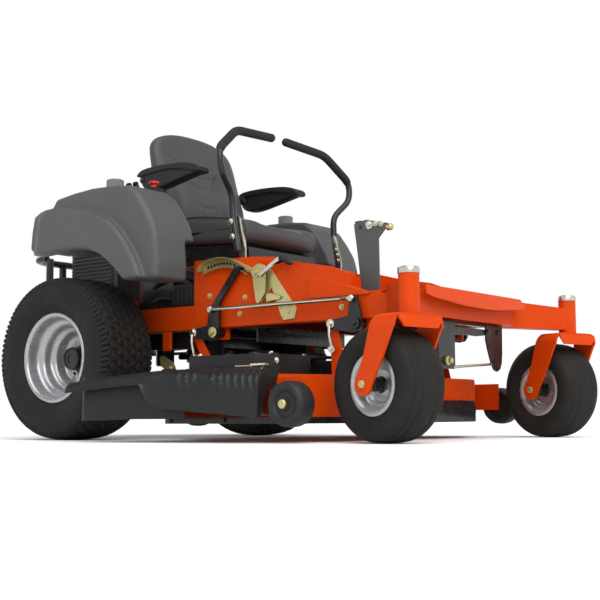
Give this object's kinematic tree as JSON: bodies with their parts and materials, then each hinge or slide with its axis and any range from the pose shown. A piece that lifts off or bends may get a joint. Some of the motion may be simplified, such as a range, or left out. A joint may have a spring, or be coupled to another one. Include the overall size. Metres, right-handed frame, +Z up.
{
  "type": "zero-turn riding mower",
  "caption": "Zero-turn riding mower with a belly deck, swivelling front casters, twin steering levers, a hinged side chute and a foot-lifted deck.",
  "frame": {"origin": "middle of the bounding box footprint, at ground level under the wheels", "axes": "+X forward, +Y to the driver's left, +Z up"},
  "size_m": [2.084, 1.623, 1.206],
  "materials": {
    "orange_paint": "gloss powder coat",
    "grey_paint": "satin powder coat",
    "black_paint": "satin powder coat",
    "silver_paint": "satin silver paint",
    "tyre_rubber": "moulded rubber with tread",
    "black_rubber": "smooth moulded",
    "black_plastic": "moulded, satin",
    "grey_plastic": "moulded, fine grain",
    "seat_vinyl": "sewn vinyl with piping",
    "engine_metal": "cast, dark",
    "muffler_steel": "heat dulled",
    "bright_zinc": "bright zinc plate",
    "yellow_zinc": "yellow zinc plate",
    "blade_steel": "ground steel"
  },
  "bodies": {
    "root": {"wheel_motor_right": "black_paint", "wheel_motor_left": "black_paint", "frame_rail_right": "orange_paint", "frame_rail_left": "orange_paint", "front_frame": "orange_paint", "rear_frame": "black_paint", "floor_plate": "orange_paint", "nose_plate": "orange_paint", "seat_platform": "orange_paint", "seat_base": "black_paint", "seat_cushion": "seat_vinyl", "seat_back": "seat_vinyl", "armrest_right": "seat_vinyl", "armrest_left": "seat_vinyl", "fender_right": "grey_plastic", "fender_left": "grey_plastic", "fender_bracket_right": "black_paint", "fender_bracket_left": "black_paint", "blade_switch": "black_plastic", "engine_block": "engine_metal", "engine_shroud": "black_plastic", "muffler": "muffler_steel", "rear_guard": "black_paint", "height_quadrant": "yellow_zinc", "front_hanger": "black_paint"},
    "rear_wheel_right": {"rear_tyre_right": "tyre_rubber", "rear_rim_right": "silver_paint"},
    "caster_right": {"caster_fork_right": "orange_paint"},
    "caster_wheel_right": {"caster_tyre_right": "tyre_rubber", "caster_rim_right": "silver_paint"},
    "control_arm_right": {"lever_bracket_right": "bright_zinc"},
    "drive_lever_right": {"lever_right": "black_paint"},
    "lift_link_right": {"lift_rod_right": "bright_zinc"},
    "front_wheel_right_of_deck": {"front_roller_right": "black_rubber"},
    "rear_wheel_right_of_deck": {"rear_roller_right": "black_rubber"},
    "rear_wheel_left": {"rear_tyre_left": "tyre_rubber", "rear_rim_left": "silver_paint"},
    "caster_left": {"caster_fork_left": "orange_paint"},
    "caster_wheel_left": {"caster_tyre_left": "tyre_rubber", "caster_rim_left": "silver_paint"},
    "control_arm_left": {"lever_bracket_left": "bright_zinc"},
    "drive_lever_left": {"lever_left": "black_paint"},
    "lift_link_left": {"lift_rod_left": "bright_zinc"},
    "front_wheel_left_of_deck": {"front_roller_left": "black_rubber"},
    "rear_wheel_left_of_deck": {"rear_roller_left": "black_rubber"},
    "deck": {"deck_shell": "orange_paint", "belt_cover": "black_plastic"},
    "chute": {"discharge_chute": "black_plastic"},
    "cutter_right": {"blade_right": "blade_steel"},
    "cutter_centre": {"blade_centre": "blade_steel"},
    "cutter_left": {"blade_left": "blade_steel"},
    "rear_lift": {"rear_lift_shaft": "black_paint"},
    "front_lift": {"front_lift_shaft": "black_paint", "lift_pedal": "grey_paint"}
  },
  "joints": [
    {"name": "rear_wheel_right_spin", "type": "hinge", "parent": "root", "child": "rear_wheel_right", "pos_m": [-0.49705, -0.4255, 0.294], "axis": [0, 1, 0], "continuous": true},
    {"name": "rear_wheel_left_spin", "type": "hinge", "parent": "root", "child": "rear_wheel_left", "pos_m": [-0.49705, 0.6305, 0.294], "axis": [0, 1, 0], "continuous": true},
    {"name": "caster_right_swivel", "type": "hinge", "parent": "root", "child": "caster_right", "pos_m": [0.94895, -0.4345, 0.37], "axis": [0, 0, 1], "continuous": true},
    {"name": "caster_wheel_right_spin", "type": "hinge", "parent": "caster_right", "child": "caster_wheel_right", "pos_m": [0.86103, -0.4153, 0.1715], "axis": [0.2133, 0.977, 0], "continuous": true},
    {"name": "caster_left_swivel", "type": "hinge", "parent": "root", "child": "caster_left", "pos_m": [0.94895, 0.6395, 0.37], "axis": [0, 0, 1], "continuous": true},
    {"name": "caster_wheel_left_spin", "type": "hinge", "parent": "caster_left", "child": "caster_wheel_left", "pos_m": [0.86361, 0.66807, 0.1715], "axis": [0.3174, 0.9483, 0], "continuous": true},
    {"name": "control_arm_right_drive", "type": "hinge", "parent": "root", "child": "control_arm_right", "pos_m": [0.10495, -0.1935, 0.604], "axis": [0, 1, 0], "range_deg": [-17.8, 17.8]},
    {"name": "drive_lever_right_open", "type": "hinge", "parent": "control_arm_right", "child": "drive_lever_right", "pos_m": [0.09695, -0.203, 0.664], "axis": [1, 0, 0], "range_deg": [0, 25]},
    {"name": "control_arm_left_drive", "type": "hinge", "parent": "root", "child": "control_arm_left", "pos_m": [0.10495, 0.3985, 0.604], "axis": [0, 1, 0], "range_deg": [-17.8, 17.8]},
    {"name": "drive_lever_left_open", "type": "hinge", "parent": "control_arm_left", "child": "drive_lever_left", "pos_m": [0.09695, 0.408, 0.664], "axis": [-1, 0, 0], "range_deg": [0, 25]},
    {"name": "deck_height", "type": "slide", "parent": "root", "child": "deck", "axis": [0, 0, 1], "range_m": [-0.045, 0.045]},
    {"name": "rear_lift_turn", "type": "hinge", "parent": "root", "child": "rear_lift", "pos_m": [0.01595, 0.1025, 0.376], "axis": [0, 1, 0], "range_deg": [-25.8, 25.8]},
    {"name": "front_lift_turn", "type": "hinge", "parent": "root", "child": "front_lift", "pos_m": [0.62395, 0.1025, 0.376], "axis": [0, 1, 0], "range_deg": [-25.8, 25.8]},
    {"name": "lift_link_right_turn", "type": "hinge", "parent": "front_lift", "child": "lift_link_right", "pos_m": [0.61195, -0.2485, 0.457], "axis": [0, 1, 0], "range_deg": [-25.8, 25.8]},
    {"name": "lift_link_left_turn", "type": "hinge", "parent": "front_lift", "child": "lift_link_left", "pos_m": [0.61195, 0.4535, 0.457], "axis": [0, 1, 0], "range_deg": [-25.8, 25.8]},
    {"name": "chute_lift", "type": "hinge", "parent": "deck", "child": "chute", "pos_m": [0.23095, -0.5135, 0.228], "axis": [-1, 0, 0], "range_deg": [0, 75]},
    {"name": "front_roller_right_spin", "type": "hinge", "parent": "deck", "child": "front_wheel_right_of_deck", "pos_m": [0.60995, -0.5585, 0.117], "axis": [0, 1, 0], "continuous": true},
    {"name": "rear_roller_right_spin", "type": "hinge", "parent": "deck", "child": "rear_wheel_right_of_deck", "pos_m": [-0.09705, -0.1975, 0.117], "axis": [0, 1, 0], "continuous": true},
    {"name": "front_roller_left_spin", "type": "hinge", "parent": "deck", "child": "front_wheel_left_of_deck", "pos_m": [0.60995, 0.7635, 0.117], "axis": [0, 1, 0], "continuous": true},
    {"name": "rear_roller_left_spin", "type": "hinge", "parent": "deck", "child": "rear_wheel_left_of_deck", "pos_m": [-0.09705, 0.4025, 0.117], "axis": [0, 1, 0], "continuous": true},
    {"name": "cutter_centre_spin", "type": "hinge", "parent": "deck", "child": "cutter_centre", "pos_m": [0.40295, 0.1025, 0.09], "axis": [0, 0, 1], "continuous": true},
    {"name": "cutter_right_spin", "type": "hinge", "parent": "deck", "child": "cutter_right", "pos_m": [0.24495, -0.2895, 0.09], "axis": [0, 0, 1], "continuous": true},
    {"name": "cutter_left_spin", "type": "hinge", "parent": "deck", "child": "cutter_left", "pos_m": [0.24495, 0.4945, 0.09], "axis": [0, 0, 1], "continuous": true}
  ],
  "couplings": [
    {"joint": "rear_lift_turn", "follows": "deck_height", "rad_per_m": 10},
    {"joint": "front_lift_turn", "follows": "deck_height", "rad_per_m": 10},
    {"joint": "lift_link_right_turn", "follows": "deck_height", "rad_per_m": -10},
    {"joint": "lift_link_left_turn", "follows": "deck_height", "rad_per_m": -10},
    {"joint": "cutter_right_spin", "follows": "cutter_centre_spin", "ratio": 1},
    {"joint": "cutter_left_spin", "follows": "cutter_centre_spin", "ratio": 1}
  ]
}
